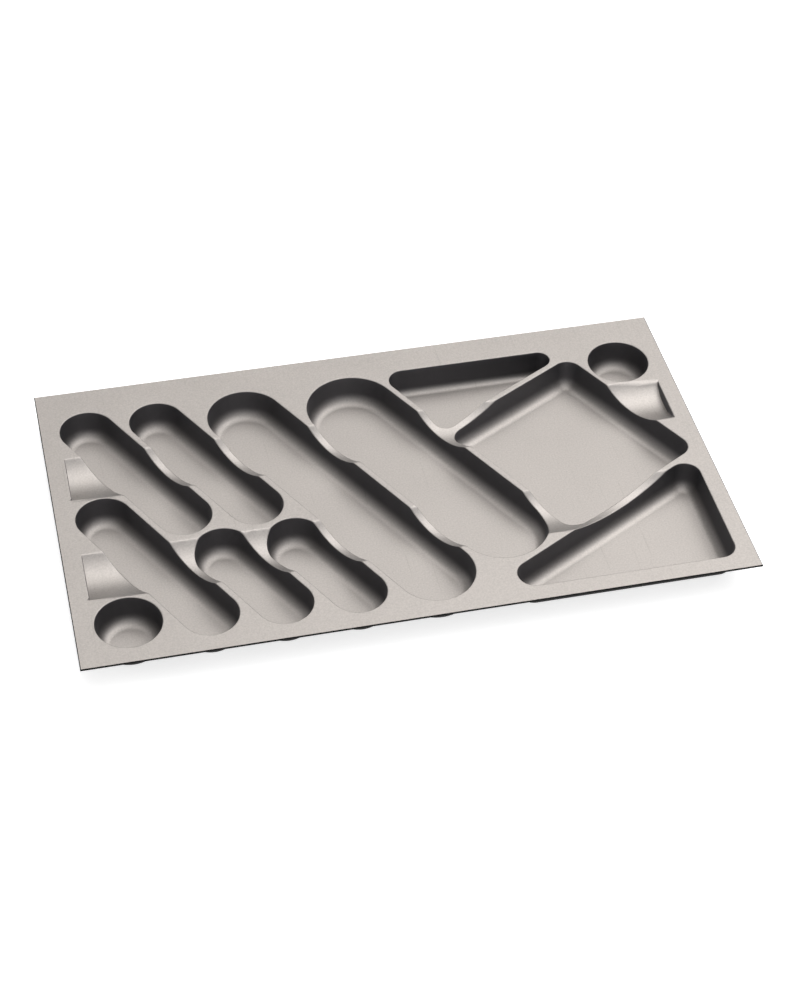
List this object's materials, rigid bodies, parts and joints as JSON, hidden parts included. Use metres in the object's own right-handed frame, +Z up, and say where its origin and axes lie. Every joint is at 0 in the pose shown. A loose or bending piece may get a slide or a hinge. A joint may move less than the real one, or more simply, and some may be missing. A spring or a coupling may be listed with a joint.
{
  "type": "cutlery tray",
  "caption": "Flat drawer tray of one formed silver sheet, with leaning slots, round cups and angled wells for cutlery, crossed by two finger channels.",
  "frame": {"origin": "on the surface that the wells stand on, under the middle of the deck", "axes": "+X along the long side to the right, +Y to the back of the drawer, +Z up"},
  "size_m": [0.84, 0.49, 0.041],
  "materials": {
    "silver_sheet": "satin silver-grey metallic face on a dark plastic sheet"
  },
  "bodies": {
    "root": {"front_slot_left": "silver_sheet", "back_slot_left": "silver_sheet", "front_slot_middle": "silver_sheet", "back_slot_right": "silver_sheet", "front_slot_right": "silver_sheet", "long_slot": "silver_sheet", "wide_slot": "silver_sheet", "front_left_cup": "silver_sheet", "back_right_cup": "silver_sheet", "square_well": "silver_sheet", "triangle_well": "silver_sheet", "wedge_well": "silver_sheet", "back_left_finger_scoop": "silver_sheet", "front_left_finger_scoop": "silver_sheet", "right_finger_scoop": "silver_sheet", "left_margin_strip": "silver_sheet", "right_margin_strip": "silver_sheet", "back_margin_strip": "silver_sheet", "front_margin_strip": "silver_sheet"}
  },
  "joints": []
}
